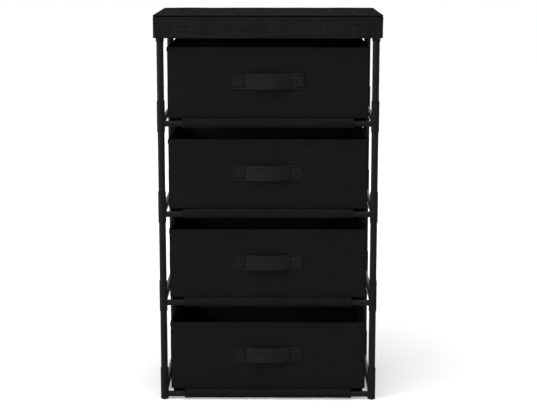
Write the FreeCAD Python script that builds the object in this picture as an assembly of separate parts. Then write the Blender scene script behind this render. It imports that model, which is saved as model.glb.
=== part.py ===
"""Fabric drawer dresser: steel tubes in moulded connectors, four slung shelves and four fabric drawers.

Millimetres. +Z is up and the drawers open towards -Y. The origin is on the floor, under the dresser's middle.
Tiers are counted from the top: tier 1 is the highest shelf, tier 4 stands on the feet.
"""

import FreeCAD, Part
import math
import os

from FreeCAD import Vector

# Frame: where the four posts stand, and the tubes
POST_SPACING_X = 425.0
POST_SPACING_Y = 275.0
POST_OD = 14.0
POST_WALL = 0.8
ROD_OD = 12.0
ROD_WALL = 0.7

# Moulded corner connectors
SOCKET_CLEARANCE = 0.05
SOCKET_WALL = 1.0
SHELF_CONNECTOR_LENGTH = 63.0
ROD_ABOVE_END = 17.0
WEB_ABOVE_END = 31.0
WEB_THICKNESS = 1.5
CONNECTOR_EDGE = 0.8
BOSS_LENGTH = 1.5
PLUG_CLEARANCE = 0.05
PLUG_LENGTH = 22.0
PLUG_LEAD_IN = 1.0
FOOT_CONNECTOR_LENGTH = 67.0
FOOT_ROD_Z = 10.5
FOOT_FLOOR = 20.0
FOOT_ROUND = 2.5
TOP_CONNECTOR_LENGTH = 48.3
CAP_THICKNESS = 3.0

# Visible post tube between two connectors
POST_GAP = 120.0
TOP_POST_GAP = 116.5
SHELF_TIERS = 4

# Slung shelves
SLING_FABRIC = 1.2
SLING_INSET = 42.0
SHELF_SIDE_GAP = 17.5
SHELF_NOTCH = 10.0
SHELF_BOARD = 2.5
SHELF_BOARD_OVERHANG = 3.0
SHELF_BOARD_SHORT = 1.0
TUNNEL_CLEARANCE = 0.1
TUNNEL_SLACK = 0.8

# Top board and fabric cover
TOP_BOARD = 3.0
TOP_BOARD_CLEARANCE = 0.3
COVER_FABRIC = 1.2
COVER_CLEARANCE = 3.25
COVER_DROP = 45.5
COVER_CORNER = 4.0
COVER_EDGE = 1.5
COVER_HEM_HEIGHT = 12.0
COVER_HEM_FOLD = 0.8

# Fabric drawers
DRAWER_SIDE_GAP = 4.65
DRAWER_HEAD_ROOM = 23.7
DRAWER_FRONT_INSET = 0.5
DRAWER_BACK_INSET = 3.5
DRAWER_SEAT_GAP = 0.3
DRAWER_SKIN = 1.0
DRAWER_BOARD = 2.4
DRAWER_LINING = 0.8
BASE_BOARD = 3.0
BOARD_END_GAP = 0.4
DRAWER_CORNER = 3.0
DRAWER_EDGE = 1.5
HEM_HEIGHT = 9.0
HEM_FOLD = 0.8
HEM_CAP = 1.0

# Webbing strap handles
STRAP_LENGTH = 140.0
STRAP_WIDTH = 31.0
STRAP_THICKNESS = 2.0
STRAP_PATCH = 26.0
STRAP_BULGE = 9.0
STRAP_ABOVE_CENTRE = 2.5

# Values worked out from the sizes above
post_x = POST_SPACING_X / 2
post_y = POST_SPACING_Y / 2
post_radius = POST_OD / 2
rod_radius = ROD_OD / 2
socket_radius = post_radius + SOCKET_CLEARANCE
connector_radius = socket_radius + SOCKET_WALL
plug_radius = rod_radius - ROD_WALL - PLUG_CLEARANCE
rod_end = connector_radius + BOSS_LENGTH
cross_rod_half = post_x - rod_end
side_rod_half = post_y - rod_end

shelf_pitch = SHELF_CONNECTOR_LENGTH + POST_GAP
first_end = FOOT_CONNECTOR_LENGTH + POST_GAP
shelf_ends = [first_end + shelf_pitch * step for step in range(SHELF_TIERS - 1)]
top_end = shelf_ends[-1] + SHELF_CONNECTOR_LENGTH + TOP_POST_GAP
cap_top = top_end + TOP_CONNECTOR_LENGTH
cover_top = cap_top + TOP_BOARD + COVER_FABRIC

sling_half_width = post_x - SLING_INSET
shelf_half_width = post_x - SHELF_SIDE_GAP
shelf_half_depth = post_y - SHELF_NOTCH
sling_top = rod_radius + TUNNEL_CLEARANCE + SLING_FABRIC + SHELF_BOARD + SLING_FABRIC
sling_bottom = -(rod_radius + TUNNEL_SLACK + SLING_FABRIC)
drawer_seat = sling_top + DRAWER_SEAT_GAP
drawer_height = shelf_pitch + sling_bottom - DRAWER_HEAD_ROOM - drawer_seat
drawer_half_width = post_x - connector_radius - DRAWER_SIDE_GAP - HEM_FOLD
drawer_front = -post_y + DRAWER_FRONT_INSET
drawer_back = post_y - DRAWER_BACK_INSET
drawer_wall = DRAWER_SKIN + DRAWER_BOARD + DRAWER_LINING


def export(shape, node):
    """Writes one node and checks that it is sound."""
    if not shape.isValid():
        raise ValueError(node + " is not a valid shape")
    shape.exportStep("parts/" + node + ".step")
    print(node, "solids", len(shape.Solids), "volume", round(shape.Volume, 1))


def block(low, high):
    """A box between two corners."""
    size = high - low
    return Part.makeBox(size.x, size.y, size.z, low)


def upright_edges(shape):
    """The edges of a box that run along Z."""
    return [edge for edge in shape.Edges if abs(edge.tangentAt(edge.FirstParameter).z) > 0.999]


def edges_at_height(shape, height):
    """The edges of a shape that lie in one level plane."""
    boxes = [(edge, edge.BoundBox) for edge in shape.Edges]
    return [edge for edge, box in boxes if box.ZLength < 1e-6 and abs(box.ZMin - height) < 1e-6]


def rounded_block(low, high, corner):
    """A box with its four upright edges rounded."""
    shape = block(low, high)
    return shape.makeFillet(corner, upright_edges(shape))


def corners():
    """The four post places, each with the directions in which its rods leave."""
    for side_x in (-1, 1):
        for side_y in (-1, 1):
            yield Vector(side_x * post_x, side_y * post_y, 0), Vector(-side_x, 0, 0), Vector(0, -side_y, 0)


def tube(outer_radius, wall, start, direction, length):
    """A straight round tube."""
    outer = Part.makeCylinder(outer_radius, length, start, direction)
    return outer.cut(Part.makeCylinder(outer_radius - wall, length, start, direction))


def rod_seat(foot, direction):
    """The boss that a rod butts against and the plug inside the rod, both starting on the connector's axis."""
    boss = Part.makeCylinder(rod_radius, rod_end, foot, direction)
    plug = Part.makeCylinder(plug_radius, PLUG_LENGTH, foot + direction * rod_end, direction)
    tip = (foot + direction * (rod_end + PLUG_LENGTH)).dot(direction)
    rims = [edge for edge in plug.Edges if edge.Closed]
    tip_edges = [edge for edge in rims if abs(edge.CenterOfMass.dot(direction) - tip) < 1e-6]
    return boss.fuse(plug.makeChamfer(PLUG_LEAD_IN, tip_edges))


def connector(low, high, rod_z, lower_socket, upper_socket, foot_round, place, along_x, along_y):
    """A moulded sleeve with a socket from below, a socket from above, and two plugs for the rods."""
    body = Part.makeCylinder(connector_radius, high - low, Vector(0, 0, low))
    body = body.makeFillet(foot_round, edges_at_height(body, low))
    body = body.makeFillet(CONNECTOR_EDGE, edges_at_height(body, high))
    middle = Vector(0, 0, rod_z)
    body = body.fuse([rod_seat(middle, along_x), rod_seat(middle, along_y)]).removeSplitter()
    if lower_socket:
        body = body.cut(Part.makeCylinder(socket_radius, lower_socket, Vector(0, 0, low)))
    if upper_socket:
        body = body.cut(Part.makeCylinder(socket_radius, upper_socket, Vector(0, 0, high - upper_socket)))
    body.translate(place)
    return body


def connector_group(low, high, rod_z, lower_socket, upper_socket, foot_round):
    """The same connector at all four posts."""
    sizes = (low, high, rod_z, lower_socket, upper_socket, foot_round)
    return Part.Compound([connector(*sizes, *corner) for corner in corners()])


def post_group(low, high):
    """One post tube at each corner."""
    upright = Vector(0, 0, 1)
    starts = [place + upright * low for place, _, _ in corners()]
    return Part.Compound([tube(post_radius, POST_WALL, start, upright, high - low) for start in starts])


def cross_rods(rod_z):
    """The front and back rods of one level."""
    rods = []
    for side in (-1, 1):
        start = Vector(-cross_rod_half, side * post_y, rod_z)
        rods.append(tube(rod_radius, ROD_WALL, start, Vector(1, 0, 0), 2 * cross_rod_half))
    return rods


def side_rods(rod_z):
    """The left and right rods of one level."""
    rods = []
    for side in (-1, 1):
        start = Vector(side * post_x, -side_rod_half, rod_z)
        rods.append(tube(rod_radius, ROD_WALL, start, Vector(0, 1, 0), 2 * side_rod_half))
    return rods


def across(profile_face, half_width):
    """A face in the YZ plane at X = 0, run out to both sides."""
    profile_face.translate(Vector(-half_width, 0, 0))
    return profile_face.extrude(Vector(2 * half_width, 0, 0))


def disc_face(radius, y, z):
    """A round face in the YZ plane."""
    edge = Part.makeCircle(radius, Vector(0, y, z), Vector(1, 0, 0))
    return Part.Face(Part.Wire(edge))


def shelf_board_room(rod_z, over_end, between_end):
    """The room of a shelf board: wide between the rods, narrower where it reaches over them."""
    low_z = rod_z + rod_radius + TUNNEL_CLEARANCE + SLING_FABRIC
    high_z = low_z + SHELF_BOARD
    over_y = post_y + SHELF_BOARD_OVERHANG
    between_y = shelf_half_depth - SLING_FABRIC
    over = block(Vector(-sling_half_width + SLING_FABRIC, -over_y, low_z), Vector(over_end, over_y, high_z))
    between_low = Vector(-shelf_half_width + SLING_FABRIC, -between_y, low_z)
    between = block(between_low, Vector(between_end, between_y, high_z))
    return over.fuse(between).removeSplitter()


def shelf_board(rod_z):
    """The stiff board of a shelf, notched at its corners and a little short of the pocket's open side."""
    over_end = sling_half_width - SHELF_BOARD_SHORT
    return shelf_board_room(rod_z, over_end, shelf_half_width - SHELF_BOARD_SHORT)


def sling(rod_z):
    """A shelf of doubled fabric with notched corners: a tunnel round each rod and a pocket for its board."""
    loop_radius = (sling_top - sling_bottom) / 2
    loop_z = rod_z + (sling_top + sling_bottom) / 2
    lining_z = rod_z + rod_radius + TUNNEL_CLEARANCE
    top_z = rod_z + sling_top
    over = block(Vector(-sling_half_width, -post_y, lining_z), Vector(sling_half_width, post_y, top_z))
    between_low = Vector(-shelf_half_width, -shelf_half_depth, lining_z)
    panel = over.fuse(block(between_low, Vector(shelf_half_width, shelf_half_depth, top_z)))
    open_end = shelf_half_width + SHELF_BOARD_SHORT
    cuts = [shelf_board_room(rod_z, open_end, open_end)]
    for side in (-1, 1):
        panel = panel.fuse(across(disc_face(loop_radius, side * post_y, loop_z), sling_half_width))
        tunnel = across(disc_face(loop_radius - SLING_FABRIC, side * post_y, loop_z), sling_half_width)
        under = block(
            Vector(-sling_half_width, side * post_y - loop_radius, loop_z - loop_radius),
            Vector(sling_half_width, side * post_y + loop_radius, lining_z),
        )
        cuts.append(tunnel.common(under))
    return panel.cut(cuts).removeSplitter()


def top_cover():
    """A fabric lid: a flat top, a skirt on all four sides and a hem folded inwards."""
    inner_x = post_x + connector_radius + COVER_CLEARANCE
    inner_y = post_y + connector_radius + COVER_CLEARANCE
    outer_x = inner_x + COVER_FABRIC
    outer_y = inner_y + COVER_FABRIC
    hem_low = cover_top - COVER_DROP
    hem_high = hem_low + COVER_HEM_HEIGHT
    outer_low = Vector(-outer_x, -outer_y, hem_low)
    outer = rounded_block(outer_low, Vector(outer_x, outer_y, cover_top), COVER_CORNER)
    outer = outer.makeFillet(COVER_EDGE, edges_at_height(outer, cover_top))
    inner_corner = COVER_CORNER - COVER_FABRIC
    room_low = Vector(-inner_x, -inner_y, hem_high)
    room = rounded_block(room_low, Vector(inner_x, inner_y, cap_top + TOP_BOARD), inner_corner)
    mouth_x = inner_x - COVER_HEM_FOLD
    mouth_y = inner_y - COVER_HEM_FOLD
    mouth_low = Vector(-mouth_x, -mouth_y, hem_low)
    mouth = rounded_block(mouth_low, Vector(mouth_x, mouth_y, hem_high), inner_corner)
    return outer.cut([room, mouth])


def top_board():
    """The stiff board under the cover, resting on the connectors' caps."""
    reach_x = post_x + connector_radius + COVER_CLEARANCE - TOP_BOARD_CLEARANCE
    reach_y = post_y + connector_radius + COVER_CLEARANCE - TOP_BOARD_CLEARANCE
    low = Vector(-reach_x, -reach_y, cap_top)
    return rounded_block(low, Vector(reach_x, reach_y, cap_top + TOP_BOARD), COVER_CORNER)


def drawer_room(inset, low_z, high_z):
    """The corners of a drawer's box, drawn in all round by an inset."""
    low = Vector(-drawer_half_width + inset, drawer_front + inset, low_z)
    high = Vector(drawer_half_width - inset, drawer_back - inset, high_z)
    return low, high


def drawer_fabric(seat_z):
    """The outer fabric box, with a hem that folds over the rim and closes the boards in."""
    rim = seat_z + drawer_height
    hem_low = rim - HEM_HEIGHT
    outer = rounded_block(*drawer_room(0, seat_z, rim), DRAWER_CORNER)
    outer = outer.makeFillet(DRAWER_EDGE, edges_at_height(outer, seat_z))
    pocket_top = rim - HEM_CAP
    inner_corner = DRAWER_CORNER - DRAWER_SKIN
    pocket = rounded_block(*drawer_room(DRAWER_SKIN, seat_z + DRAWER_SKIN, pocket_top), inner_corner)
    hem = rounded_block(*drawer_room(-HEM_FOLD, hem_low, rim), DRAWER_CORNER + HEM_FOLD)
    mouth = block(*drawer_room(drawer_wall + HEM_FOLD, hem_low, rim))
    lining_room = block(*drawer_room(drawer_wall, seat_z + DRAWER_SKIN, hem_low))
    lip_low, lip_high = drawer_room(drawer_wall, hem_low, pocket_top)
    lip = block(lip_low, lip_high).cut(mouth)
    return outer.fuse(hem).cut([pocket, mouth, lining_room]).fuse(lip).removeSplitter()


def drawer_lining(seat_z):
    """The thin inner fabric box, standing on the base board."""
    floor = seat_z + DRAWER_SKIN + BASE_BOARD
    rim = seat_z + drawer_height - HEM_CAP
    outer = block(*drawer_room(drawer_wall - DRAWER_LINING, floor, rim))
    return outer.cut(block(*drawer_room(drawer_wall, floor + DRAWER_LINING, rim)))


def drawer_boards(seat_z):
    """The stiffeners between fabric and lining: front, back, the two sides, and the base."""
    low, high = drawer_room(DRAWER_SKIN, seat_z + DRAWER_SKIN, seat_z + drawer_height - HEM_CAP)
    base_top = low.z + BASE_BOARD
    corner = DRAWER_CORNER - DRAWER_SKIN
    end_inset = Vector(corner, 0, 0)
    front_low = Vector(low.x, low.y, low.z) + end_inset
    front = block(front_low, Vector(high.x, low.y + DRAWER_BOARD, high.z) - end_inset)
    back = block(Vector(low.x, high.y - DRAWER_BOARD, low.z) + end_inset, high - end_inset)
    side_inset = Vector(0, DRAWER_BOARD + BOARD_END_GAP + corner, 0)
    left = block(low + side_inset, Vector(low.x + DRAWER_BOARD, high.y, high.z) - side_inset)
    right = block(Vector(high.x - DRAWER_BOARD, low.y, low.z) + side_inset, high - side_inset)
    base_low, base_high = drawer_room(drawer_wall - DRAWER_LINING, low.z, base_top)
    return front, back, Part.Compound([left, right]), block(base_low, base_high)


def strap_edge(offset):
    """Edges of one face of a strap seen from above, from left to right: flat, bow in, bow out and back."""
    flat_y = drawer_front - offset
    half = STRAP_LENGTH / 2
    free = half - STRAP_PATCH
    quarter = free / 2
    rise = STRAP_BULGE / 2
    radius = (quarter ** 2 + rise ** 2) / (2 * rise)
    turn = math.asin(quarter / radius)
    foot_centre = flat_y - radius + offset
    crown_centre = drawer_front - STRAP_BULGE + radius
    foot_radius = radius - offset
    crown_radius = radius + offset

    def foot_point(side, angle):
        reach = free - foot_radius * math.sin(angle)
        return Vector(side * reach, foot_centre + foot_radius * math.cos(angle), 0)

    def crown_point(angle):
        return Vector(crown_radius * math.sin(angle), crown_centre - crown_radius * math.cos(angle), 0)

    left_foot = Part.Arc(foot_point(-1, 0), foot_point(-1, turn / 2), foot_point(-1, turn))
    crown = Part.Arc(crown_point(-turn), crown_point(0), crown_point(turn))
    right_foot = Part.Arc(foot_point(1, turn), foot_point(1, turn / 2), foot_point(1, 0))
    ends = [Part.LineSegment(Vector(-half, flat_y, 0), foot_point(-1, 0))]
    ends.append(Part.LineSegment(foot_point(1, 0), Vector(half, flat_y, 0)))
    return [piece.toShape() for piece in (ends[0], left_foot, crown, right_foot, ends[1])]


def strap(seat_z):
    """A webbing strap: its sewn ends lie flat on the front and its middle bows out for the fingers."""
    inner = strap_edge(0)
    outer = strap_edge(STRAP_THICKNESS)
    caps = [Part.makeLine(inner[0].Vertexes[0].Point, outer[0].Vertexes[0].Point)]
    caps.append(Part.makeLine(inner[-1].Vertexes[-1].Point, outer[-1].Vertexes[-1].Point))
    wire = Part.Wire(Part.__sortEdges__(inner + outer + caps))
    low_z = seat_z + drawer_height / 2 + STRAP_ABOVE_CENTRE - STRAP_WIDTH / 2
    face = Part.Face(wire)
    face.translate(Vector(0, 0, low_z))
    return face.extrude(Vector(0, 0, STRAP_WIDTH))


def build_frame():
    """Connectors, posts, rods, slings and the covered top. Returns the rod levels, lowest first."""
    upper_socket = SHELF_CONNECTOR_LENGTH - WEB_ABOVE_END - WEB_THICKNESS
    foot_socket = FOOT_CONNECTOR_LENGTH - FOOT_FLOOR
    feet = connector_group(0, FOOT_CONNECTOR_LENGTH, FOOT_ROD_Z, 0, foot_socket, FOOT_ROUND)
    export(feet, "foot_connectors")
    rod_levels = [FOOT_ROD_Z]
    post_feet = [FOOT_FLOOR]
    post_heads = []
    for step, end in enumerate(shelf_ends):
        rod_z = end + ROD_ABOVE_END
        tier = SHELF_TIERS - 1 - step
        group = connector_group(
            end, end + SHELF_CONNECTOR_LENGTH, rod_z, WEB_ABOVE_END, upper_socket, CONNECTOR_EDGE
        )
        export(group, "tier_%d_connectors" % tier)
        rod_levels.append(rod_z)
        post_heads.append(end + WEB_ABOVE_END)
        post_feet.append(end + WEB_ABOVE_END + WEB_THICKNESS)
    top_socket = TOP_CONNECTOR_LENGTH - CAP_THICKNESS
    top_rod = top_end + ROD_ABOVE_END
    export(connector_group(top_end, cap_top, top_rod, top_socket, 0, CONNECTOR_EDGE), "top_connectors")
    post_heads.append(top_end + top_socket)
    export(Part.Compound(cross_rods(top_rod) + side_rods(top_rod)), "top_rods")
    for step, rod_z in enumerate(rod_levels):
        tier = "tier_%d_" % (SHELF_TIERS - step)
        export(post_group(post_feet[step], post_heads[step]), tier + "post_tubes")
        export(Part.Compound(cross_rods(rod_z)), tier + "cross_rods")
        export(Part.Compound(side_rods(rod_z)), tier + "side_rods")
        export(sling(rod_z), tier + "sling")
        export(shelf_board(rod_z), tier + "shelf_board")
    export(top_board(), "top_board")
    export(top_cover(), "top_cover")
    return rod_levels


def build_drawer(number, rod_z):
    """One drawer, standing on the sling of its shelf."""
    name = "drawer_%d_" % number
    seat_z = rod_z + drawer_seat
    front, back, sides, base = drawer_boards(seat_z)
    export(drawer_fabric(seat_z), name + "fabric")
    export(drawer_lining(seat_z), name + "lining")
    export(front, name + "front_board")
    export(back, name + "back_board")
    export(sides, name + "side_boards")
    export(base, name + "base_board")
    export(strap(seat_z), name + "strap")


def main():
    os.makedirs("parts", exist_ok=True)
    rod_levels = build_frame()
    for step, rod_z in enumerate(rod_levels):
        build_drawer(SHELF_TIERS - step, rod_z)
    print("overall height", round(cover_top, 2))
    print("drawer", round(2 * drawer_half_width, 2), round(drawer_height, 2))


main()
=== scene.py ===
# %% [markdown]
# # A fabric drawer dresser
# The dresser is a cage of black steel tubes pushed into moulded corner connectors. A fabric lid covers the
# top, fabric slings carry the four shelves, and a fabric drawer stands on each shelf. Tubes, connectors and
# boards come from the CAD frame and only get a finish. Every piece of cloth is made again here, because a
# flat CAD solid has no hem, no stitch and no give. All lengths are metres.

# %% Load the frame
from math import pi

import bmesh
import bpy
import numpy as np
from numpy.linalg import norm
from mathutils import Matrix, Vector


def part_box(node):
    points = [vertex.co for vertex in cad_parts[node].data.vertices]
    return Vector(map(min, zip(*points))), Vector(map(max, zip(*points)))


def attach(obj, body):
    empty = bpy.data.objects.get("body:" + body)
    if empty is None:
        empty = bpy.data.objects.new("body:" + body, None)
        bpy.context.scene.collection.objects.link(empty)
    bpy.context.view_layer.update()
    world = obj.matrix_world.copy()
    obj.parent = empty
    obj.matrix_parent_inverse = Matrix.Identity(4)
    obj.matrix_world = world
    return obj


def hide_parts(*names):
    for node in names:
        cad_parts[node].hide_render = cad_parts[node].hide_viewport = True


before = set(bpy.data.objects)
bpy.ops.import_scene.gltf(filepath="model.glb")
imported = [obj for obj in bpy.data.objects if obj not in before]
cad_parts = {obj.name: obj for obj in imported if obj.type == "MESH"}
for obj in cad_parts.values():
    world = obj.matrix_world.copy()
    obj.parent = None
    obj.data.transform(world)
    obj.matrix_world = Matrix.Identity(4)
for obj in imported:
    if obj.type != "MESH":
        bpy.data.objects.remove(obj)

scene = bpy.context.scene
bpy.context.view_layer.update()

# %% [markdown]
# ## Cloth as a grid of points
# A sheet of cloth is already a grid, so each piece starts as an array of points with rows and columns.
# Modelling operators could build it too, but an array lets a whole hem or wave be one line of arithmetic.
# The UV map is in metres of cloth, so that a weave has the same thread size on a strap and on a lid.

# %% New pieces and the size of a cut
def new_piece(name, points, polygons):
    """A smooth object at the origin of the scene."""
    mesh = bpy.data.meshes.new(name)
    mesh.from_pydata(points.tolist(), [], polygons)
    mesh.shade_smooth()
    piece = bpy.data.objects.new(name, mesh)
    scene.collection.objects.link(piece)
    return piece


def run_lengths(grid, ring=False):
    """Mean distances along the rows and along the columns, from 0 on."""
    loop = np.concatenate([grid, grid[:1]]) if ring else grid
    down = norm(np.diff(loop, axis=0), axis=2).mean(1).cumsum()
    over = norm(np.diff(grid, axis=1), axis=2).mean(0).cumsum()
    return np.r_[0, down], np.r_[0, over]


def cut_size(grid, ring=False):
    """The flat cut of a piece: the mean lengths of its rows and of its columns."""
    down, over = run_lengths(grid, ring)
    return float(down[-1]), float(over[-1])


# %% A mesh from a grid
def cloth(name, grid, laid_flat=None, ring=False, ends=False, facing=1):
    """Makes an object whose corner (i, j) is grid[i, j], with one four-sided face between neighbours.

    A ring joins its last row to its first, and ends closes its first and last columns with one face
    each. The UV of a corner is its place on the flat cut, or else the lengths of the runs that lead to
    it. The faces look away from the middle of the piece, or towards it where facing is -1.
    """
    rows, columns = grid.shape[:2]
    points = grid.reshape(-1, 3)
    if laid_flat is None:
        laid_flat = np.stack(np.meshgrid(*run_lengths(grid, ring), indexing="ij"), -1)
    i, j = np.meshgrid(np.arange(rows if ring else rows - 1), np.arange(columns - 1), indexing="ij")
    row = np.stack([i, i + 1, i + 1, i], -1).reshape(-1, 4)
    column = np.stack([j, j, j + 1, j + 1], -1).reshape(-1, 4)
    faces = row % rows * columns + column
    a, b, c, d = points[faces].transpose(1, 0, 2)
    outward = ((a + b + c + d) / 4 - points.mean(0)) * np.cross(c - a, d - b)
    turned = outward.sum() * facing < 0
    if turned:
        faces, row, column = faces[:, ::-1], row[:, ::-1], column[:, ::-1]
    polygons = faces.tolist()
    uv = laid_flat[row, column].reshape(-1, 2)
    if ends:
        last = np.arange(rows) * columns + columns - 1
        last = last[::-1] if turned else last
        polygons += [(last[::-1] - columns + 1).tolist(), last.tolist()]
        uv = np.concatenate([uv, np.zeros((2 * rows, 2))])
    piece = new_piece(name, points, polygons)
    piece.data.uv_layers.new(name="cloth").data.foreach_set("uv", uv.astype(np.float32).ravel())
    return piece


print("a cloth's UV map is in metres")

# %% [markdown]
# ## Outlines, bands and panels
# A drawer, its lining and the lid are walls round a rectangle with small round corners. Carrying one
# profile round such an outline gives a wall with its hem in a single array. A panel is the flat piece that
# closes it. Sewn cloth is never quite flat, so a few long cosine waves make each piece a little uneven.

# %% Rounded outlines and bands
ARC_POINTS = 7
LEAST_CORNER = 0.0004


def arc_places(centre, size, start, end, count):
    """Places on a circle's arc between two angles."""
    angle = np.linspace(start, end, count)
    return np.stack([centre[0] + size * np.cos(angle), centre[1] + size * np.sin(angle)], -1)


def outline(half_x, half_y, corner, spacing):
    """Rounded rectangles about the origin, anticlockwise, as an array (places, rectangles, 2).

    Each corner is a quarter circle about the point one radius in from both sides. The straight runs
    between them are divided evenly, about one spacing apart.
    """
    half = np.stack(np.broadcast_arrays(np.atleast_1d(half_x), np.atleast_1d(half_y)), -1)
    radius = np.broadcast_to(corner, half.shape[:1])[:, None]
    arcs = []
    for quarter, side in enumerate(([1, 1], [-1, 1], [-1, -1], [1, -1])):
        turn = quarter * pi / 2
        circle = arc_places((0, 0), 1, turn, turn + pi / 2, ARC_POINTS)
        arcs.append(np.array(side) * (half - radius) + radius * circle[:, None])
    runs = []
    for arc, following in zip(arcs, arcs[1:] + arcs[:1]):
        straight = following[0] - arc[-1]
        steps = max(2, round(norm(straight, axis=-1).max() / spacing))
        share = np.linspace(0, 1, steps + 1)[1:-1, None, None]
        runs += [arc, arc[-1] + share * straight]
    return np.concatenate(runs)


def band(half_x, half_y, corner, profile, spacing):
    """A profile of (outward, height) places carried round a rounded rectangle.

    The rectangle and its corner radius grow by the outward place, and the height is the third coordinate.
    """
    outward, height = np.asarray(profile).T
    corners = np.maximum(corner + outward, LEAST_CORNER)
    loops = outline(half_x + outward, half_y + outward, corners, spacing)
    return np.dstack([loops, np.broadcast_to(height, loops.shape[:2])])


print("a drawer's outline has", len(outline(0.2, 0.135, 0.003, 0.005)), "places")

# %% Panels with a rolled edge
ROLL_POINTS = 6
CORNER_POINTS = 5


def panel(half_x, half_y, corner, roll, spacing):
    """A level rounded rectangle at height 0 whose edge rolls down, as an array (across, along, 3).

    The corner squares of an even grid are drawn in to quarter circles: a place keeps its direction from
    the corner's centre and lies as far out as its larger coordinate. Over the last roll of cloth the
    height falls as a quarter circle.
    """
    fall = np.linspace(0, pi / 2, ROLL_POINTS)
    edge = np.r_[roll * (1 - np.cos(fall)), np.linspace(roll, corner, CORNER_POINTS)[1:-1]]
    sides = []
    for half in (half_x, half_y):
        inside = half - corner
        middle = np.linspace(-inside, inside, round(2 * inside / spacing) + 1)
        sides.append(np.r_[edge - half, middle, (half - edge)[::-1]])
    flat = np.stack(np.meshgrid(*sides, indexing="ij"), -1)
    inside = np.array([half_x - corner, half_y - corner])
    centre = np.clip(flat, -inside, inside)
    reach = np.abs(flat - centre).max(-1, keepdims=True)
    length = np.maximum(norm(flat - centre, axis=-1, keepdims=True), 1e-9)
    level = centre + (flat - centre) * reach / length
    drop = np.maximum(roll - (corner - reach), 0)
    return np.concatenate([level, np.sqrt(np.maximum(roll**2 - drop**2, 0)) - roll], -1)


print("a drawer's base is a grid of", panel(0.2, 0.135, 0.003, 0.001, 0.01).shape[:2])

# %% Unevenness and smooth steps
def waves(points, lengths, seed):
    """A gentle wave between -1 and 1: the mean of one cosine per length, each in its own fixed direction."""
    chance = np.random.default_rng(seed)
    direction = chance.normal(size=(len(lengths), 3))
    direction /= norm(direction, axis=1, keepdims=True) * np.array(lengths)[:, None]
    return np.cos(2 * pi * points @ direction.T + chance.uniform(0, 2 * pi, len(lengths))).mean(-1)


def step(value, start, end):
    """Rises smoothly from 0 at start to 1 at end: the cubic 3t^2 - 2t^3."""
    share = np.clip((value - start) / (end - start), 0, 1)
    return share * share * (3 - 2 * share)


print("a quarter of the way up a step:", step(0.25, 0, 1))

# %% [markdown]
# ## Stitches
# Every hem is held by a row of lock stitches, which show as short beads of thread with small gaps. A bump
# map would draw them too, but thread that stands up catches the light, so each stitch is a small spindle.

# %% Dividing a line into stitches
STITCH_PITCH = 0.0036
STITCH_LENGTH = 0.0029


def stitch_places(path, lift):
    """Divides a line into stitches of even length: their middles, directions and the way off the cloth."""
    along = np.r_[0, norm(np.diff(path, axis=0), axis=1).cumsum()]
    count = max(1, round(along[-1] / STITCH_PITCH))
    middle = (np.arange(count) + 0.5) * along[-1] / count

    def read(values, at):
        return np.stack([np.interp(at, along, values[:, k]) for k in range(3)], -1)

    direction = read(path, middle + STITCH_LENGTH / 2) - read(path, middle - STITCH_LENGTH / 2)
    return np.stack([read(path, middle), direction, read(np.broadcast_to(lift, path.shape), middle)])


print("a metre of seam has", round(1 / STITCH_PITCH), "stitches")

# %% Rows of thread
THREAD = 0.0007
THREAD_SIDES = 6
STITCH_RINGS = np.array([-0.97, -0.75, -0.3, 0.3, 0.75, 0.97])


def sew(name, places, thread=THREAD):
    """One spindle per stitch: rings of radius (1 - t^2)^(1/2) from end to end, t running from -1 to 1."""
    middle, direction, lift = np.concatenate(places, axis=1)
    direction = direction / norm(direction, axis=1, keepdims=True)
    across = np.cross(direction, lift)
    angle = np.linspace(0, 2 * pi, THREAD_SIDES, endpoint=False)
    size = thread / 2 * np.sqrt(1 - STITCH_RINGS**2)[:, None, None]
    circle = np.cos(angle)[:, None] * across[:, None, None] + np.sin(angle)[:, None] * lift[:, None, None]
    lengthwise = STITCH_LENGTH / 2 * STITCH_RINGS[:, None, None] * direction[:, None, None]
    rings = middle[:, None, None] + lengthwise + size * circle
    i, j = np.meshgrid(np.arange(len(STITCH_RINGS) - 1), np.arange(THREAD_SIDES), indexing="ij")
    k = (j + 1) % THREAD_SIDES
    near = i * THREAD_SIDES
    far = near + THREAD_SIDES
    sides = np.stack([near + j, far + j, far + k, near + k], -1).reshape(-1, 4)
    tip = np.arange(THREAD_SIDES)
    tips = np.stack([tip, tip[::-1] + (len(STITCH_RINGS) - 1) * THREAD_SIDES])
    start = np.arange(len(rings))[:, None, None] * len(STITCH_RINGS) * THREAD_SIDES
    faces = (start + sides).reshape(-1, 4).tolist() + (start + tips).reshape(-1, THREAD_SIDES).tolist()
    return new_piece(name, rings.reshape(-1, 3), faces)


print("a stitch is", STITCH_LENGTH * 1000, "mm of", THREAD * 1000, "mm thread")

# %% [markdown]
# ## Shader arithmetic
# A weave is a formula in two coordinates. As nodes drawn by hand it takes dozens of boxes, so a socket is
# wrapped in a small class: an expression in Python then adds the Math nodes itself. Any other node comes
# from one method.

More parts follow.
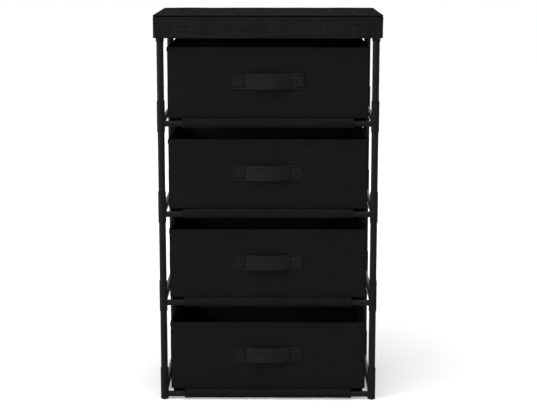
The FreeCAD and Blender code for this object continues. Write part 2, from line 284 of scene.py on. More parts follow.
# %% A socket that can be calculated with
class Wire:
    """A node's output in an expression; each operator adds one Math node."""

    def __init__(self, socket):
        self.socket = socket

    def node(self, kind, settings, sockets, output=0):
        """Adds any node to the same tree, with its settings and the values or links of its sockets."""
        tree = self.socket.id_data
        made = tree.nodes.new(kind)
        for name, value in settings.items():
            setattr(made, name, value)
        for name, value in sockets.items():
            if isinstance(value, Wire):
                tree.links.new(value.socket, made.inputs[name])
            else:
                made.inputs[name].default_value = value
        return Wire(made.outputs[output])

    def math(self, operation, *values):
        return self.node("ShaderNodeMath", {"operation": operation}, dict(enumerate(values)))

    def __add__(self, other):
        return self.math("ADD", self, other)

    def __sub__(self, other):
        return self.math("SUBTRACT", self, other)

    def __mul__(self, other):
        return self.math("MULTIPLY", self, other)

    def __truediv__(self, other):
        return self.math("DIVIDE", self, other)

    def __pow__(self, other):
        return self.math("POWER", self, other)

    def __mod__(self, other):
        return self.math("FLOORED_MODULO", self, other)

    def __rsub__(self, other):
        return self.math("SUBTRACT", other, self)

    __radd__ = __add__

    def sine(self):
        return self.math("SINE", self)

    def floor(self):
        return self.math("FLOOR", self)

    def ramp(self, low, high):
        """0 below low, 1 above high, smooth between."""
        ranges = {"Value": self, "From Min": low, "From Max": high}
        return self.node("ShaderNodeMapRange", {"interpolation_type": "SMOOTHSTEP"}, ranges)

    def noise(self, scale, detail=2.0, roughness=0.5):
        """Cloudy variation about 0.5 at this vector's places."""
        sockets = {"Vector": self, "Scale": scale, "Detail": detail, "Roughness": roughness}
        return self.node("ShaderNodeTexNoise", {}, sockets)

    def blend(self, low, high):
        """A colour between low and high; Mix keeps it a colour where Math would turn it grey."""
        return self.node("ShaderNodeMix", {"data_type": "RGBA"}, {0: self, 6: low, 7: high}, 2)

    def split(self):
        parts = self.node("ShaderNodeSeparateXYZ", {}, {"Vector": self}).socket.node
        return [Wire(output) for output in parts.outputs]

    def stretched(self, by):
        """The same places with each axis multiplied."""
        return self.node("ShaderNodeVectorMath", {"operation": "MULTIPLY"}, {0: self, 1: by})

    def feed(self, shader, socket):
        self.socket.id_data.links.new(self.socket, shader.inputs[socket])


print("a wire has", len(vars(Wire)), "attributes")

# %% Colours, empty finishes and bumps
def tone(*colour):
    """A display colour or grey, 0 to 255, as the linear colour that a shader takes."""
    shown = np.broadcast_to(colour, 3) / 255
    linear = np.where(shown > 0.04045, ((shown + 0.055) / 1.055) ** 2.4, shown / 12.92)
    return (*linear.tolist(), 1.0)


def new_finish(name, gloss, **constants):
    """A new material with its fixed numbers, its shader, the body's places and the cloth's places."""
    finish = bpy.data.materials.new(name)
    finish.use_nodes = True
    tree = finish.node_tree
    shader = tree.nodes["Principled BSDF"]
    shader.inputs["Specular IOR Level"].default_value = gloss
    for socket, value in constants.items():
        shader.inputs[socket.replace("_", " ")].default_value = value
    body = Wire(tree.nodes.new("ShaderNodeTexCoord").outputs["Object"])
    flat = body.node("ShaderNodeUVMap", {"uv_map": "cloth"}, {})
    return finish, shader, body, flat


def complete(shader, colour, roughness, height):
    """Feeds a shader its colour, its roughness and a height in metres, as a bump."""
    colour.feed(shader, "Base Color")
    roughness.feed(shader, "Roughness")
    bump = height.node("ShaderNodeBump", {}, {"Height": height, "Distance": 1.0, "Strength": 1.0})
    bump.feed(shader, "Normal")


print("a grey of 26 is", round(tone(26)[0], 5), "in linear light")

# %% [markdown]
# ## Pressed cloth
# The drawers, the shelves and the lid are a black bonded cloth: its fibres are pressed together, and a
# roller stamps a fine basket pattern into them, so that it looks woven. In one square the ridge is round
# across the width, in the next one across the length. The fibres lie unevenly, which shows as streaks both
# ways and as faint clouds. Such cloth is matt: with a specular level above 0 the lid would shine like
# plastic at a flat angle, so all of its brightness is the base colour.

# %% The stamped basket pattern
RIDGE = 0.0008


def basket(across, along):
    """Height of the pattern, 0 to 1, at places counted in ridges.

    In even squares of the chessboard it is the round |sin(pi across)|, dipping at both ends of the
    square, and in odd squares the same along the other way.
    """
    one = (across * pi).sine() ** 2
    other = (along * pi).sine() ** 2
    odd = (across.floor() + along.floor()) % 2
    over = one**0.5 * (other * 0.45 + 0.55)
    under = other**0.5 * (one * 0.45 + 0.55)
    return over + odd * (under - over)


def crossed_fibres(flat, fine, coarse, detail, roughness=0.5):
    """Two noises that are drawn out across each other; their sum is about 1."""
    down = flat.stretched((fine, coarse, 0.0)).noise(1.0, detail, roughness)
    over = flat.stretched((coarse, fine, 0.0)).noise(1.0, detail, roughness)
    return down + over


print("the roller stamps", round(1 / RIDGE), "ridges to a metre")

# %% Cloth for drawers, shelves and lid
STREAK = 9.0
FIBRE = 2600.0
STAMP_DEPTH = 0.00012
FIBRE_DEPTH = 0.00005
STREAK_DEPTH = 0.00006
CLOUD_DEPTH = 0.0012


def pressed_cloth(name, grey, slub, seam=None):
    """Black bonded cloth of one grey; slub is the strength of its streaks.

    Where there is a seam at a height, a painted shade darkens the cloth from 1 to 5 mm below it, standing in
    for the shade that falls in the seam's groove.
    """
    finish, shader, body, flat = new_finish(name, 0.0)
    across, along, _ = flat.split()
    stamp = basket(across / RIDGE, along / RIDGE)
    streak = crossed_fibres(flat, 0.2 / RIDGE, STREAK, 3.0)
    cloud = body.noise(9.0, 3.0)
    fibre = body.noise(FIBRE)
    shade = stamp * 0.5 + (streak - 1.0) * slub + cloud * 0.3 + 0.1
    colour = shade.blend(tone(grey * 0.68), tone(grey * 1.3))
    if seam:
        # Painted shade: the colour is darkened where the seam's groove lies in shade.
        below = seam - body.split()[2]
        painted_seam_shade = below.ramp(0.0006, 0.0018) * (1.0 - below.ramp(0.0035, 0.0055))
        colour = painted_seam_shade.blend(colour, tone(grey * 0.4))
    height = stamp * STAMP_DEPTH + fibre * FIBRE_DEPTH + streak * STREAK_DEPTH + cloud * CLOUD_DEPTH
    complete(shader, colour, 1.0 - stamp * 0.12 - fibre * 0.1, height)
    return finish


drawer_cloth = pressed_cloth("drawer_cloth", 26.0, 0.3)
sling_cloth = pressed_cloth("shelf_cloth", 26.0, 0.5)
# The lid's cloth carries a painted shade under its top seam.
cover_cloth = pressed_cloth("cover_cloth", 29.0, 1.1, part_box("top_cover")[1].z)
print("pressed cloth:", drawer_cloth.name, sling_cloth.name, cover_cloth.name)

# %% [markdown]
# ## Lining
# The inside of a drawer is a thinner bonded cloth, whose roller leaves a staggered lattice of small dots.
# The product of two cosines has its peaks on such a lattice. Between the dots the loose fibres show, as
# two noises stretched across each other.

# %% The dotted lining
DOT_PITCH = 0.0021
DOT_DEPTH = 0.00018


def dotted_cloth(name, grey):
    """Pressed fibres with dots where cos(2 pi u) cos(2 pi v) is near 1."""
    finish, shader, body, flat = new_finish(name, 0.0)
    one, other = ((way * (2 * pi / DOT_PITCH) + pi / 2).sine() for way in flat.split()[:2])
    dots = (one * other).ramp(0.35, 0.75)
    fibre = crossed_fibres(flat, 900.0, 160.0, 4.0, 0.65)
    cloud = body.noise(12.0, 3.0)
    shade = fibre * 0.45 + cloud * 0.3 - dots * 0.25
    colour = shade.blend(tone(grey * 0.6), tone(grey * 1.35))
    height = fibre * 0.00009 - dots * DOT_DEPTH + cloud * 0.0009
    complete(shader, colour, 0.98 - dots * 0.25, height)
    return finish


lining_cloth = dotted_cloth("lining_cloth", 40.0)
print("lining with dots every", DOT_PITCH * 1000, "mm")

# %% [markdown]
# ## Webbing and thread
# The handles are woven webbing: thick ribs run along the strap, and the weft crosses them in a herringbone.
# The sewing thread is as dark as the cloth, but the straps are sewn with a deeper black, so that the
# crossed boxes show as dark lines.

# %% Webbing and thread finishes
RIB = 0.0016
RIB_DEPTH = 0.00022
WEFT_DEPTH = 0.00012


def webbing(name, grey):
    """Ribs of sin^2(pi v) along the strap, crossed by a weft that changes its slant at every rib."""
    finish, shader, body, flat = new_finish(name, 0.04)
    across, along, _ = flat.split()
    ribs = across / RIB
    crown = (ribs * pi).sine() ** 2
    slant = ribs.floor() % 2 * 2 - 1
    weft = ((along / (RIB * 0.62) + slant * (ribs % 1) * 0.5) * (2 * pi)).sine() * 0.5 + 0.5
    streak = flat.stretched((0.4 / RIB, 12.0, 0.0)).noise(1.0, 3.0)
    fibre = body.noise(FIBRE)
    shade = crown * 0.4 + weft * 0.2 + (streak - 0.5) * 1.6 + 0.15
    colour = shade.blend(tone(grey * 0.62), tone(grey * 1.3))
    height = crown * RIB_DEPTH + weft * crown * WEFT_DEPTH + fibre * 0.00004
    complete(shader, colour, 0.8 - crown * 0.15 + fibre * 0.1, height)
    return finish


def twisted_thread(name, grey, gloss):
    """Black thread: fine noise stands in for its fibres."""
    finish, shader, body, _ = new_finish(name, gloss)
    fibre = body.noise(3200.0, 3.0)
    colour = fibre.blend(tone(grey * 0.7), tone(grey * 1.3))
    complete(shader, colour, 0.75 - fibre * 0.3, fibre * 0.00008)
    return finish


strap_webbing = webbing("handle_webbing", 30.5)
sewing_thread = twisted_thread("sewing_thread", 29.0, 0.08)
strap_thread = twisted_thread("strap_thread", 14.0, 0.02)
print("webbing:", strap_webbing.name, "threads:", sewing_thread.name, strap_thread.name)

# %% [markdown]
# ## Tubes, connectors and boards
# The tubes are steel with a black powder coat, which dries to a fine orange peel and a low gloss. The
# connectors are injection moulded, with an even spark-eroded grain and slow flow marks. The boards are
# brown fibreboard and hardly show. Without a cloth map, their patterns use the body's own places.

# %% Powder coat, moulded plastic and fibreboard
def powder_coat(name, grey):
    """Low-gloss black: orange peel of about a millimetre, and faint dull patches."""
    finish, shader, body, _ = new_finish(name, 0.05)
    peel = body.noise(750.0)
    dust = body.noise(35.0, 4.0, 0.6)
    colour = dust.blend(tone(grey * 0.8), tone(grey * 1.25))
    complete(shader, colour, 0.24 + dust * 0.16 + peel * 0.06, peel * 0.00003)
    return finish


def moulded_plastic(name, grey):
    """Satin black: spark-eroded grain, and slow flow marks."""
    finish, shader, body, _ = new_finish(name, 0.05)
    grain = body.noise(1500.0, 3.0, 0.6)
    flow = body.stretched((1.0, 1.0, 0.35)).noise(45.0, 3.0)
    colour = flow.blend(tone(grey * 0.85), tone(grey * 1.2))
    complete(shader, colour, 0.45 + grain * 0.12 + flow * 0.1, grain * 0.00004)
    return finish


def fibreboard(name, low, high):
    """Short pale fibres in a darker ground."""
    finish, shader, body, _ = new_finish(name, 0.15)
    chips = body.stretched((260.0, 700.0, 700.0)).noise(1.0, 4.0, 0.7)
    colour = chips.ramp(0.3, 0.75).blend(low, high)
    complete(shader, colour, 0.8 + chips * 0.15, chips * 0.0001)
    return finish


hard_finishes = {
    "frame_steel": powder_coat("steel_powder_coat", 23.0),
    "connector_plastic": moulded_plastic("connector_moulding", 22.0),
    "fibreboard": fibreboard("brown_fibreboard", tone(92, 70, 48), tone(142, 116, 84)),
}
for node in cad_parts.values():
    slot = node.material_slots[0].material.name
    if slot in hard_finishes:
        node.material_slots[0].material = hard_finishes[slot]
print("hard finishes:", *hard_finishes)

# %% [markdown]
# ## Dressing a piece
# Every new piece needs the same few steps: its finish, the body it moves with, and hiding the CAD solids it
# stands for; for cloth, its flat cut is printed. Two functions keep them together.

# %% A piece's finish, body, thickness and cut
CLOTH = 0.00095


def dress(piece, body, finish, slot, *stands_for):
    """Gives a piece its finish, its body and the CAD nodes that it replaces."""
    piece.data.materials.append(finish)
    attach(piece, body)
    if stands_for:
        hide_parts(*stands_for)
    return piece


def thicken(piece):
    """Cloth thickness, added on the inner side."""
    layer = piece.modifiers.new("thickness", "SOLIDIFY")
    layer.thickness = CLOTH
    layer.offset = -1.0
    layer.use_even_offset = True
    return piece


def lay(piece, cut, **how):
    """Prints a cloth's name, its number of faces and its flat cut.

    How it lies, given as keywords, is not used.
    """
    print(piece.name, len(piece.data.polygons), "faces, cut", np.round(cut, 4).tolist())


print("cloth is", CLOTH * 1000, "mm thick")

# %% [markdown]
# ## The lid
# The lid is sewn from two cuts: a flat top and a skirt that runs all the way round. They meet in a seam
# along the upper edge, which shows as a thin dark line: both edges roll into a narrow groove, and a painted
# shade in the lid's cloth darkens it further. One long profile, carried round the outline, makes the groove,
# the skirt and the hem folded to the inside.

# %% The top of the lid
COVER_CORNER = 0.004
SEAM_ROLL = 0.0018
SEAM_OVERHANG = 0.0004
TOP_SPACING = 0.006
TOP_SINK = 0.0003
TOP_WAVE = 0.00025
TOP_CROWN = 0.0004
CROWN_WIDTH = 0.05
cover_low, cover_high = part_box("top_cover")
top_half = np.array(cover_high[:2]) + SEAM_OVERHANG
top_grid = panel(*top_half, COVER_CORNER + SEAM_OVERHANG, SEAM_ROLL, TOP_SPACING)
top_flat = top_grid[..., :2].copy()
crown = step(top_half - np.abs(top_flat), 0, CROWN_WIDTH).prod(-1)
top_wave = TOP_WAVE * waves(top_grid, [0.05, 0.08, 0.11, 0.16], 3)
top_grid[..., 2] += cover_high.z - TOP_SINK + top_wave + TOP_CROWN * crown
cover_top = cloth("cover_top_cloth", top_grid, top_flat)
dress(cover_top, "frame", cover_cloth, "cover_fabric", "top_cover")
lay(cover_top, tuple((2 * top_half).tolist()), held="stretched", rests_on=["top_board"])

# %% The profile of the skirt
SEAM_GROOVE = 0.0008
GROOVE_START = 0.0012
GROOVE_END = 0.0055
COVER_HEM = 0.012
HEM_ROUND = 0.001


def skirt_profile(drop):
    """The skirt's line from the seam's groove down, round the hem and up inside, as (outward, height)."""
    shoulder = np.linspace(GROOVE_START, GROOVE_END, 8)
    groove_line = SEAM_GROOVE * (step(shoulder, SEAM_ROLL, GROOVE_END) - 1)
    inside = -2 * HEM_ROUND
    return np.concatenate([
        np.stack([groove_line, -shoulder], -1),
        np.linspace((0.0, -0.0066), (0.0, HEM_ROUND - drop), 26),
        arc_places((-HEM_ROUND, HEM_ROUND - drop), HEM_ROUND, 0, -pi, 9)[1:],
        np.linspace((inside, 0.0025 - drop), (inside, COVER_HEM - drop), 6),
    ])


cover_drop = cover_high.z - cover_low.z
print("skirt profile", len(skirt_profile(cover_drop)), "places")

# %% The skirt of the lid
SKIRT_SWING = 0.0005
SKIRT_WAVE = 0.0006
BAND_SPACING = 0.005
COMES_FREE = (0.006, 0.03)
ON_SKIRT = 0.006


def off_band(grid, half, margin):
    """The level way off a band: each coordinate's sign within a margin of the half size, else 0."""
    flat = grid[..., :2]
    return np.sign(flat) * (np.abs(flat) > np.array(half) - margin)


skirt_grid = band(cover_high.x, cover_high.y, COVER_CORNER, skirt_profile(cover_drop), BAND_SPACING)
loose = step(-skirt_grid[..., 2], *COMES_FREE)
skirt_grid[..., 2] += cover_high.z
swing = SKIRT_SWING * loose * waves(skirt_grid * [1, 1, 0.4], [0.045, 0.07, 0.12, 0.2], 5)
skirt_grid[..., :2] += swing[..., None] * off_band(skirt_grid, cover_high[:2], ON_SKIRT)
skirt_grid[..., 2] += SKIRT_WAVE * loose * waves(skirt_grid * [1, 1, 0], [0.09, 0.15, 0.26], 6)
cover_skirt = cloth("cover_skirt_cloth", skirt_grid, ring=True)
thicken(dress(cover_skirt, "frame", cover_cloth, "cover_fabric", "top_cover"))
print("skirt", skirt_grid.shape[:2], "places")

# %% The stitching of the lid
HEM_ROW = 0.010
SEAM_ROW = 0.0075
LID_LIFT = 0.0002
PROBE = 0.001


def round_row(half, lift, corner, height):
    """A stitch row at one height round a rounded rectangle; a second, larger one gives the way off."""
    wider = np.array([0, PROBE])
    loops = outline(half[0] + lift + wider, half[1] + lift + wider, corner + wider, BAND_SPACING)
    loops = np.concatenate([loops, loops[:1]])
    level = np.full((len(loops), 1), height)
    off = (loops[:, 1] - loops[:, 0]) / PROBE
    return stitch_places(np.hstack([loops[:, 0], level]), np.hstack([off, 0 * level]))


heights = (cover_low.z + HEM_ROW, cover_high.z - SEAM_ROW)
lid_rows = [round_row(cover_high, LID_LIFT, COVER_CORNER, z) for z in heights]
lid_thread = dress(sew("cover_stitching", lid_rows), "frame", sewing_thread, "cover_fabric")
skirt_cut = cut_size(skirt_grid, True)
lay(cover_skirt, skirt_cut, held="hung", rests_on=["top_board"], with_pieces=[lid_thread])
print("lid stitches", sum(row.shape[1] for row in lid_rows))

# %% [markdown]
# ## The shelves
# A shelf is a flat bag of cloth with a board inside. Its corners are cut away for the connectors, and a
# narrower strip goes round each rod, sewn to the bag above and below, as the soft roll that shows in front.
# Small gathers run along the rods, both ends have a double hem, and the upper side stays level, because the
# drawer slides on it. The bag's seam hangs down as a short lip all round.

# %% The side view of a strip
NOTCH = 0.010
LAYER = 0.0004
ROD_GAP = 0.0001
STRIP_SEAM = 0.009
RUN_POINTS = 8
CIRCLE_POINTS = 50
COMES_LOOSE = (1.7, 2.4)


def shelf_sizes(tier):
    """The shelf cloth's corners, the rods' distance from the middle, and the bag's two heights."""
    low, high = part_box(f"tier_{tier}_sling")
    rods_low, rods_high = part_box(f"tier_{tier}_cross_rods")
    rod_y = rods_high.y - (rods_high.z - rods_low.z) / 2
    return low, high, rod_y, rods_high.z + ROD_GAP, high.z - 2 * LAYER


def strip_path(low, high, rod_y, bag_low):
    """The front strip's line as (y, z), the way off it and how loose it is.

    After a run over the bag it is a circle round the rod, from the top over the front until it meets the
    bag from below. The cloth comes loose from the bag between two angles, in radians.
    """
    radius = (high.z - low.z) / 2
    middle = (high.z + low.z) / 2
    start = rod_y - NOTCH - STRIP_SEAM
    end = 2 * pi + np.arcsin((bag_low - LAYER - middle) / radius)
    angle = np.linspace(pi / 2, end, CIRCLE_POINTS)
    circle = np.stack([np.cos(angle), np.sin(angle)], -1)
    run = np.linspace((-start, high.z - LAYER), (-rod_y, high.z), RUN_POINTS + 1)[:-1]
    line = np.concatenate([run, circle * radius + [-rod_y, middle]])
    off = np.concatenate([np.tile([0.0, 1.0], (RUN_POINTS, 1)), circle])
    return line, off, np.concatenate([np.zeros(RUN_POINTS), step(angle, *COMES_LOOSE)])


print("strip path", len(strip_path(*shelf_sizes(1)[:4])[0]), "places")

# %% The strips round the rods
STRIP_SHORT = 0.0245
STRIP_HEM = 0.009
HEM_EDGE = 0.0006
HEM_LIFT = 0.0005
GATHER = 0.00045
GATHER_RISE = (0.002, 0.03)
END_PLACES = np.array([0, 0.0004, 0.0012, 0.0025, 0.005, 0.0075, 0.0086, 0.0094])
MIDDLE_START = 0.011
MIDDLE_POINTS = 130


def strip_grid(tier, side, half, line, off, loose):
    """Carries the path from end to end, presses gathers into it and thickens both hems."""
    inner = half - MIDDLE_START
    x = np.r_[END_PLACES - half, np.linspace(-inner, inner, MIDDLE_POINTS), (half - END_PLACES)[::-1]]
    grid = np.stack(np.broadcast_arrays(x[:, None], line[:, 0], line[:, 1]), -1)
    ends = half - np.abs(x)[:, None]
    gathers = waves(grid * [1, 0.25, 0.25], [0.008, 0.013, 0.021, 0.034, 0.06], 20 + 5 * tier + side)
    hem = 1 - step(ends, STRIP_HEM - HEM_EDGE, STRIP_HEM + HEM_EDGE)
    lift = loose * (GATHER * gathers * step(ends, *GATHER_RISE) + HEM_LIFT * hem)
    grid[..., 1:] += lift[..., None] * off
    return grid


print("gathers stand off by up to", GATHER * 1000, "mm")

# %% The strips and their stitching
HEM_SEWN = slice(12, 57)
HEM_ROW_IN = 0.007
SEAM_SHORT = 0.003
SEAM_SINK = 0.0002
SEAM_POINTS = 90


def strip_rows(half, line, off, loose):
    """A stitch row round both end hems, and one along the seam on the bag."""
    hem_line = (line + off * (0.0001 + HEM_LIFT * loose[:, None]))[HEM_SEWN]
    level = np.zeros(len(hem_line))
    lift = np.column_stack([level, off[HEM_SEWN]])
    sides = (HEM_ROW_IN - half, half - HEM_ROW_IN)
    rows = [stitch_places(np.column_stack([level + x, hem_line]), lift) for x in sides]
    seam_end = np.array([half - SEAM_SHORT, *(line[1] - [0, SEAM_SINK])])
    seam = np.linspace(seam_end * [-1, 1, 1], seam_end, SEAM_POINTS)
    return rows + [stitch_places(seam, (0, 0, 1))]


def make_strip(tier, place, side):
    """The strip in front, where side is -1, or behind; its folded ends close the pocket of the board."""
    low, high, rod_y, bag_low, _ = shelf_sizes(tier)
    line, off, loose = strip_path(low, high, rod_y, bag_low)
    line, off = line * [-side, 1], off * [-side, 1]
    half = high.x - STRIP_SHORT
    grid = strip_grid(tier, side, half, line, off, loose)
    grid[[0, -1], :, 2] = np.minimum(grid[[0, -1], :, 2], bag_low)
    strip = thicken(cloth(f"tier_{tier}_{place}_strip", grid))
    dress(strip, "frame", sling_cloth, "sling_fabric", f"tier_{tier}_sling")
    thread = sew(f"tier_{tier}_{place}_strip_stitching", strip_rows(half, line, off, loose))
    dress(thread, "frame", sewing_thread, "sling_fabric")
    rests = [f"tier_{tier}_cross_rods", f"tier_{tier}_shelf_board"]
    lay(strip, cut_size(grid), held="stretched", rests_on=rests, with_pieces=[thread])


for tier in (1, 2, 3, 4):
    make_strip(tier, "front", -1)
    make_strip(tier, "back", 1)

# %% The bags of the shelf boards
BAG_CORNER = 0.0016
BAG_ROLL = 0.001
PANEL_SPACING = 0.009
BAG_SAG = 0.00012
BAG_LIP = 0.0034
LIP_LAID = 1.03


def hang_lip(grid, laid, height):
    """Adds a rim of points under the edge, at one height; on the flat cut they lie a little further out."""
    grid, laid = (np.pad(places, ((1, 1), (1, 1), (0, 0)), "edge") for places in (grid, laid))
    rim = np.pad(np.zeros(np.array(laid.shape[:2]) - 2, bool), 1, constant_values=True)
    grid[rim, 2] = height
    laid[rim] *= LIP_LAID
    return grid, laid


def weld(piece):
    """Merges the points that coincide at the lip's corners, and so drops faces without area."""
    joined = bmesh.new()
    joined.from_mesh(piece.data)
    bmesh.ops.remove_doubles(joined, verts=joined.verts, dist=1e-7)
    joined.to_mesh(piece.data)
    joined.free()
    return piece


def make_bag(tier):
    """Two level panels with rolled edges, over and under the board; the upper one has the lip."""
    _, high, rod_y, bottom, top = shelf_sizes(tier)
    for name, way, level in (("top", 1, top), ("under", -1, bottom)):
        grid = panel(high.x, rod_y - NOTCH, BAG_CORNER, BAG_ROLL, PANEL_SPACING)
        laid = grid[..., :2].copy()
        sag = BAG_SAG * (1 + waves(grid, [0.05, 0.09, 0.14], 40 + 2 * tier + way))
        grid[..., 2] = level + way * (grid[..., 2] - sag * step(BAG_ROLL + grid[..., 2], 0, BAG_ROLL))
        if name == "top":
            grid, laid = hang_lip(grid, laid, bottom - BAG_LIP)
        sheet = weld(cloth(f"tier_{tier}_shelf_{name}", grid, laid))
        dress(sheet, "frame", sling_cloth, "sling_fabric", f"tier_{tier}_sling")
        lay(sheet, cut_size(grid), held="stretched", rests_on=[f"tier_{tier}_shelf_board"])


for tier in (1, 2, 3, 4):
    make_bag(tier)

# %% [markdown]
# ## The drawers
# A drawer is a box of boards sewn between an outer cloth and a lining. The outer cloth is one band round
# all four sides: it is turned under the base, runs up the wall, and folds over the rim into a stitched hem,
# all in one profile. It is drawn tight over the boards, so it only swells by half a millimetre, and the rim
# waves a little where the hem was sewn.

# %% The profile of a drawer's wall
WALL = 0.0042
DRAWER_CORNER = 0.003
EDGE_ROUND = 0.0009
HEM_FOLD = 0.0008
HEM_HEIGHT = 0.009
HEM_SWELL = 0.00025


def drawer_sizes(number):
    """A drawer's half sizes without its hem, the middle of its base, and its height."""
    low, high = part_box(f"drawer_{number}_fabric")
    half = (high - low) / 2
    middle = (high + low) / 2
    return np.array(half[:2]) - HEM_FOLD, np.array([0, middle.y, low.z]), high.z - low.z


def wall_profile(height):
    """The cloth's line from under the base, up, over the rim and down inside, as (outward, height)."""
    low = height - HEM_HEIGHT
    rim = height - EDGE_ROUND
    hem = np.linspace(low + 0.0004, rim, 9)
    swell = HEM_SWELL * np.sin(pi * (hem - hem[0]) / (hem[-1] - hem[0]))
    inner = -WALL - HEM_FOLD
    return np.concatenate([
        np.linspace((-0.012, 0.0), (-0.003, 0.0), 4),
        arc_places((-EDGE_ROUND, EDGE_ROUND), EDGE_ROUND, -pi / 2, 0, 6),
        np.linspace((0.0, 0.004), (0.0, low - 0.0012), 34),
        [(0.0, low - 0.0003), (0.0001, low), (0.0005, low + 0.00005)],
        np.stack([HEM_FOLD + swell, hem], -1),
        arc_places((HEM_FOLD - EDGE_ROUND, rim), EDGE_ROUND, 0.3, pi / 2, 4),
        [(-0.0015, height), (-0.003, height)],
        arc_places((inner + EDGE_ROUND, rim), EDGE_ROUND, pi / 2, pi, 5),
        np.linspace((inner, height - 0.002), (inner, low + 0.0004), 5),
        [(-WALL - 0.0005, low), (-WALL + 0.0003, low + 0.0003)],
    ])


print("wall profile", len(wall_profile(drawer_sizes(1)[2])), "places")

# %% The outer walls
WALL_SPACING = 0.0055
WALL_SWELL = 0.0003
WALL_WAVE = 0.0005
RIM_WAVE = 0.00045
RIM_BAND = 0.03
HEM_ROW_UP = 0.0024
ROW_LIFT = 0.0003
ON_WALL = 0.0005
FOOT_FADE = (0.003, 0.03)
TOP_FADE = 0.03
SIDE_FADE = 0.04


def push_out(grid, half, swell, low, top, width):
    """Moves a band outwards by a swell, and less near its lower and upper edge and its corners."""
    free = step(grid[..., 2], *low) * step(top - grid[..., 2], 0, TOP_FADE)
    free *= np.minimum(step(half - np.abs(grid[..., :2]), 0, width).sum(-1), 1)
    grid[..., :2] += (swell * free)[..., None] * off_band(grid, half, ON_WALL)


def make_wall(number):
    """Carries the profile round the drawer, swells it, waves its rim and sews its hem."""
    drawer = f"drawer_{number}"
    half, place, height = drawer_sizes(number)
    hem = height - HEM_HEIGHT
    grid = band(*half, DRAWER_CORNER, wall_profile(height), WALL_SPACING)
    swell = WALL_SWELL + WALL_WAVE * waves(grid, [0.05, 0.08, 0.13, 0.2], 60 + number)
    push_out(grid, half, swell, FOOT_FADE, hem - 0.001, SIDE_FADE)
    rim = step(grid[..., 2], height - RIM_BAND, height)
    grid[..., 2] += RIM_WAVE * rim * waves(grid * [1, 1, 0], [0.05, 0.09, 0.17], 70 + number)
    grid += place
    wall = cloth(f"{drawer}_wall_cloth", grid, ring=True)
    dress(wall, drawer, drawer_cloth, "drawer_fabric", f"{drawer}_fabric")
    row = round_row(half + HEM_FOLD, ROW_LIFT, DRAWER_CORNER + HEM_FOLD, hem + HEM_ROW_UP)
    row[0] += place
    thread = dress(sew(f"{drawer}_hem_stitching", [row]), drawer, sewing_thread, "drawer_fabric")
    boards = [f"{drawer}_{board}" for board in ("front_board", "back_board", "side_boards")]
    lay(wall, cut_size(grid, True), held="stretched", rests_on=boards, with_pieces=[thread])


for number in (1, 2, 3, 4):
    make_wall(number)

# %% [markdown]
# ## The drawer's base and lining
# Under the base board lies a plain rectangle of the outer cloth, inside the turned-in edge of the wall. The
# lining is a second box: four walls that disappear behind the hem, and a loose covered board as the floor.
# Its walls are made as the outer ones are, and they face inwards.

# %% The base
BASE_INSET = 0.0015
BASE_ROLL = 0.0003
BASE_SPACING = 0.012
BASE_LIFT = 0.0004
BASE_WAVE = 0.0002


def make_base(drawer, number):
    """A level panel just above the wall's turned-in edge, facing down."""
    half, place, _ = drawer_sizes(number)
    grid = panel(*(half - BASE_INSET), DRAWER_CORNER - BASE_INSET, BASE_ROLL, BASE_SPACING)
    laid = grid[..., :2].copy()
    grid[..., 2] = BASE_LIFT + BASE_WAVE * waves(grid, [0.06, 0.1, 0.15], 80 + number)
    grid += place
    base = cloth(f"{drawer}_base_cloth", grid, laid)
    if base.data.polygons[len(base.data.polygons) // 2].normal.z > 0:
        base.data.flip_normals()
    dress(base, drawer, drawer_cloth, "drawer_fabric", f"{drawer}_fabric")
    lay(base, cut_size(grid), held="stretched", rests_on=[f"{drawer}_base_board"])


print("a base lies", BASE_LIFT * 1000, "mm up")

# %% The lining's walls
LINING_FLOOR = 0.0048
LINING_ROUND = 0.002
LINING_SPACING = 0.007
LINING_PUFF = 0.0008
LINING_FOOT = (0.008, 0.04)
LINING_SIDE = 0.03


def lining_profile(height):
    """The lining's line from the floor, round its edge and up behind the hem, as (outward, height)."""
    centre = (-WALL - LINING_ROUND, LINING_FLOOR + LINING_ROUND)
    return np.concatenate([
        [(-WALL - 0.008, LINING_FLOOR), (-WALL - 0.004, LINING_FLOOR)],
        arc_places(centre, LINING_ROUND, -pi / 2, 0, 5),
        np.linspace((-WALL, LINING_FLOOR + 0.004), (-WALL, height - 0.006), 30),
    ])


def make_lining_walls(drawer, number):
    """Carries the profile round the drawer and swells it inwards."""
    half, place, height = drawer_sizes(number)
    grid = band(*half, DRAWER_CORNER, lining_profile(height), LINING_SPACING)
    puff = LINING_PUFF * (1 + waves(grid, [0.04, 0.07, 0.11, 0.18], 90 + number))
    push_out(grid, half - WALL, -puff, LINING_FOOT, height - HEM_HEIGHT, LINING_SIDE)
    grid += place
    walls = cloth(f"{drawer}_lining_walls", grid, ring=True, facing=-1)
    dress(walls, drawer, lining_cloth, "lining_fabric", f"{drawer}_lining")
    lay(walls, cut_size(grid, True), held="stretched", rests_on=[f"{drawer}_base_board"])


print("lining profile", len(lining_profile(drawer_sizes(1)[2])), "places")

# %% The lining's floor, and all three for each drawer
PAD_GAP = 0.001
PAD_CORNER = 0.004
PAD_ROLL = 0.001
PAD_THICKNESS = 0.0016
PAD_WAVE = 0.0003


def make_lining_floor(drawer, number):
    """The covered board on the base: a level panel with rolled edges."""
    half, place, _ = drawer_sizes(number)
    pad = panel(*(half - WALL - PAD_GAP), PAD_CORNER, PAD_ROLL, PANEL_SPACING)
    laid = pad[..., :2].copy()
    pad[..., 2] += LINING_FLOOR + PAD_THICKNESS + PAD_WAVE * waves(pad, [0.06, 0.1, 0.17], 100 + number)
    pad += place
    bottom = cloth(f"{drawer}_lining_floor", pad, laid)
    dress(bottom, drawer, lining_cloth, "lining_fabric", f"{drawer}_lining")
    lay(bottom, cut_size(pad), held="laid", rests_on=[f"{drawer}_base_board"])


for number in (1, 2, 3, 4):
    for make in (make_base, make_lining_walls, make_lining_floor):
        make(f"drawer_{number}", number)

